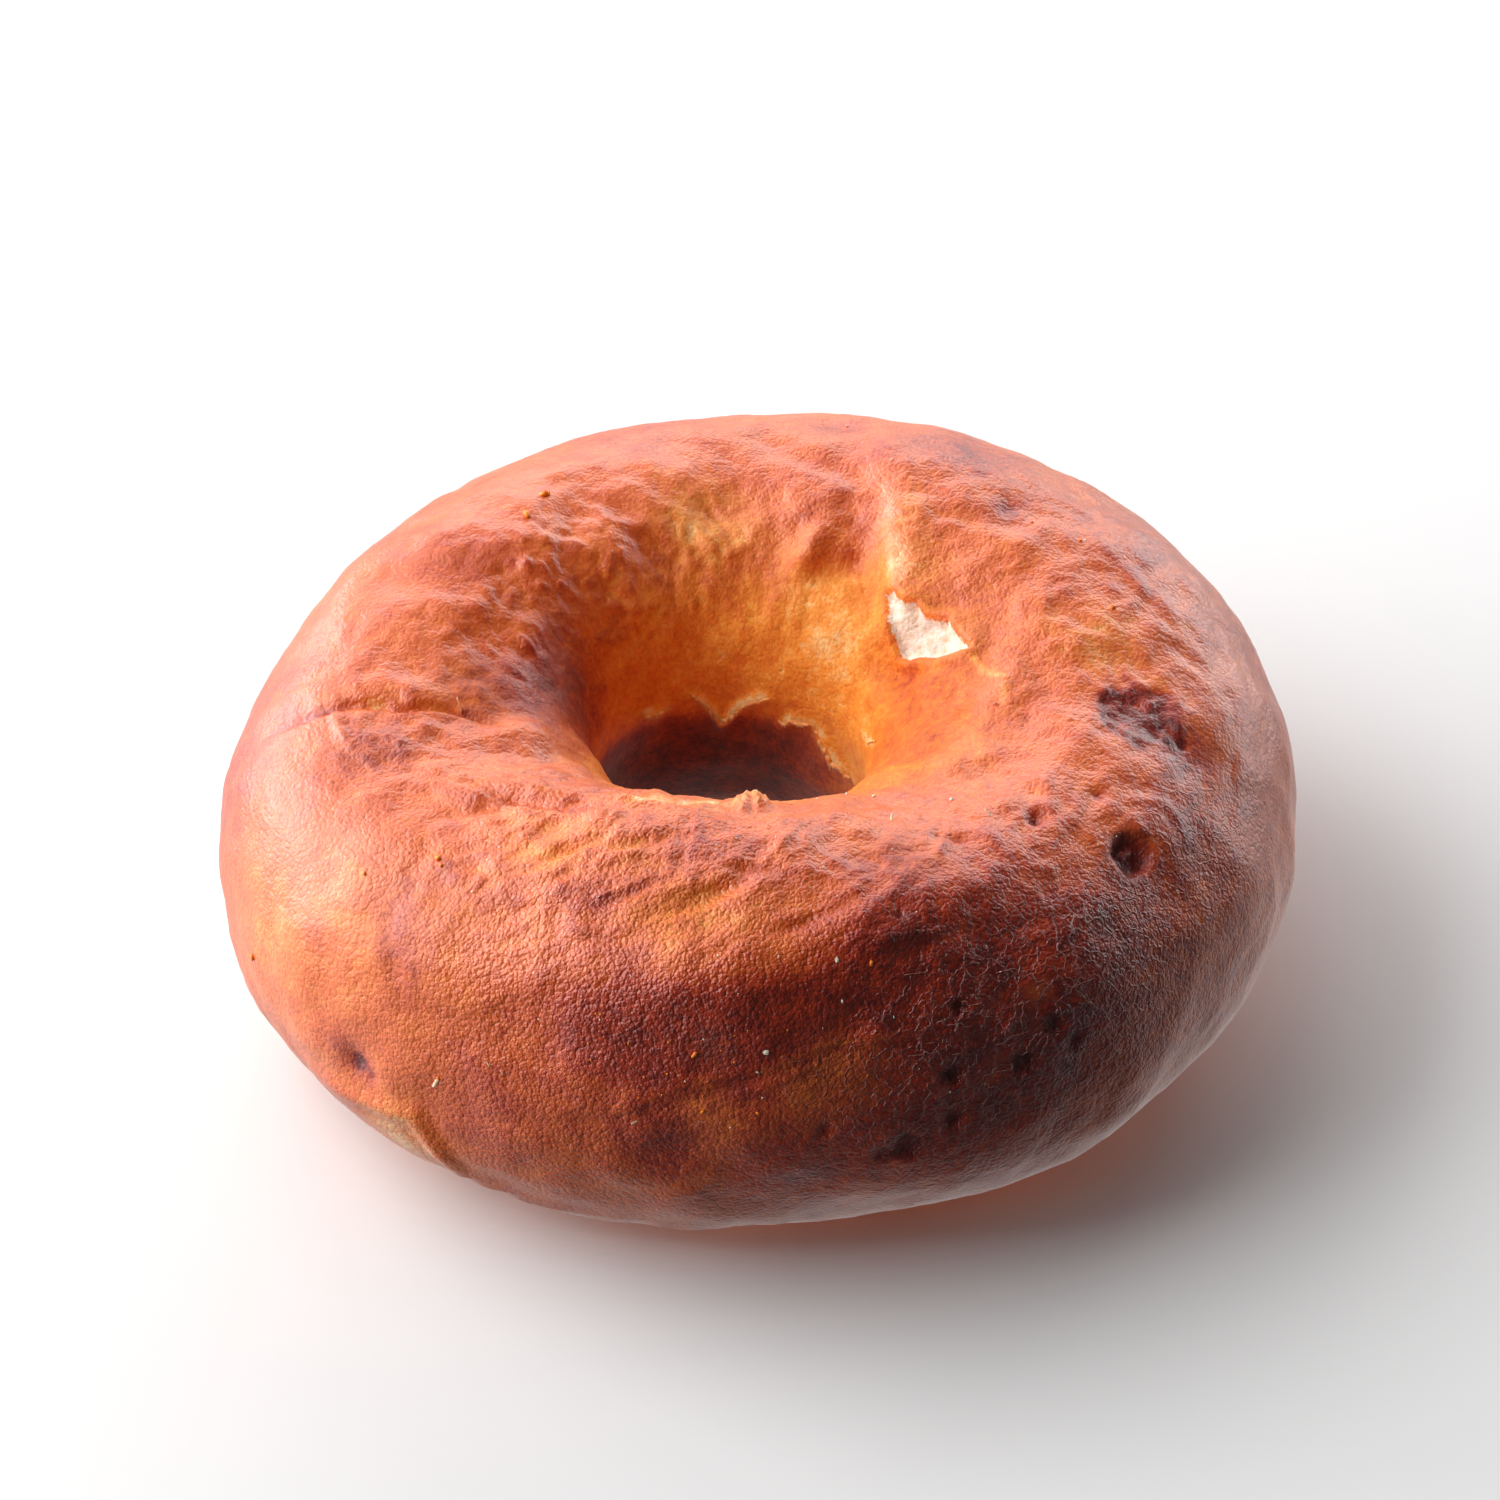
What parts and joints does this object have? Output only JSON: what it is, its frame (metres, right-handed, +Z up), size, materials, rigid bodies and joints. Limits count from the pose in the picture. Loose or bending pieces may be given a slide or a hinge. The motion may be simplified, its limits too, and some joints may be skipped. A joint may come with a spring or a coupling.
{
  "type": "bagel",
  "caption": "Plain bagel: a plump, hand-shaped ring of dough with a round hole, a browned wrinkled crust, blisters, and a torn join on the hole's far rim",
  "frame": {"origin": "middle of the flat base in plan, at the height of the surface that the bagel lies on", "axes": "+Z up along the axis of the hole, +X to the right and +Y away from the pictured front"},
  "size_m": [0.1136, 0.1086, 0.0439],
  "materials": {
    "crust": "browned bread crust with a soft sheen, slightly wrinkled and pebbled, lighter and more orange in the hole"
  },
  "bodies": {
    "root": {"bagel": "crust"}
  },
  "joints": []
}
